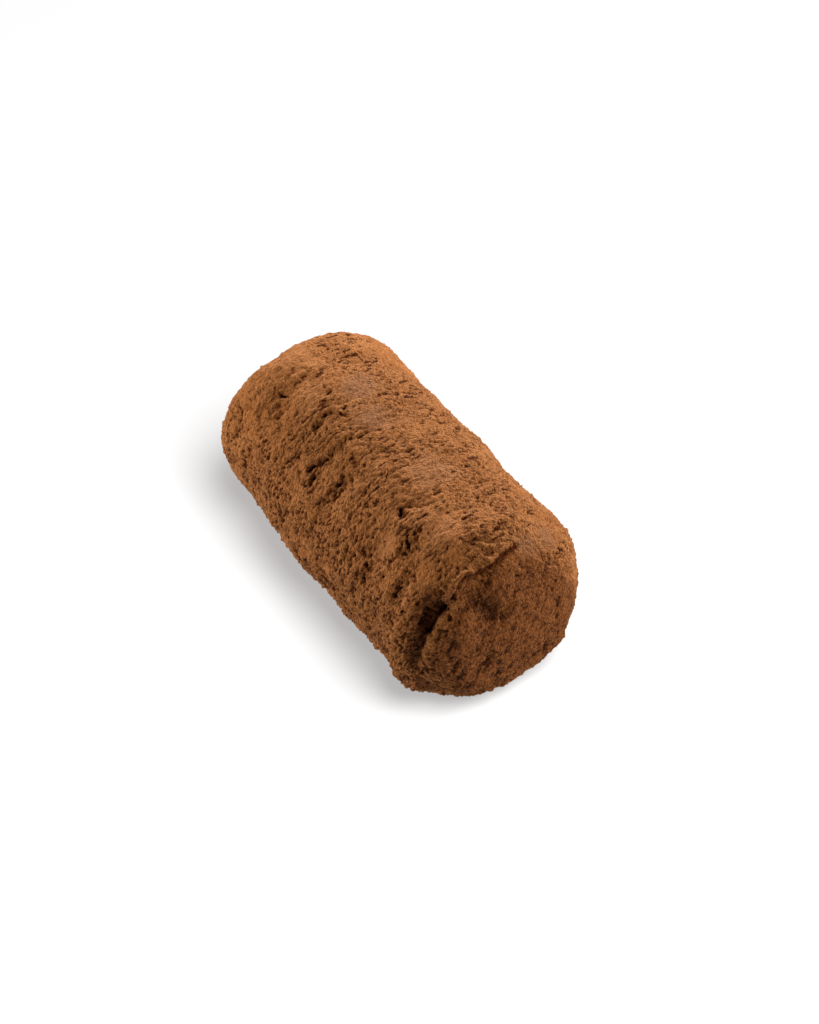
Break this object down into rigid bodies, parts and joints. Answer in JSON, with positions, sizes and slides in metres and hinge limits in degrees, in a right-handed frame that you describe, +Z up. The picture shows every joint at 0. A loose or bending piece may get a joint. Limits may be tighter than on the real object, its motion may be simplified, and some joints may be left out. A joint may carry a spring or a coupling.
{
  "type": "chocolate truffle",
  "caption": "Hand-rolled chocolate truffle in the shape of a short log, lying on its side, with a rough crust of cocoa powder and a smoother cut end.",
  "frame": {"origin": "under the middle of the log, on the surface that it lies on", "axes": "+X along the log towards its cut end, +Z up, +Y across the log"},
  "size_m": [0.0404, 0.0228, 0.0204],
  "materials": {
    "cocoa_crust": "matt cocoa powder over ganache"
  },
  "bodies": {
    "root": {"truffle": "cocoa_crust"}
  },
  "joints": []
}
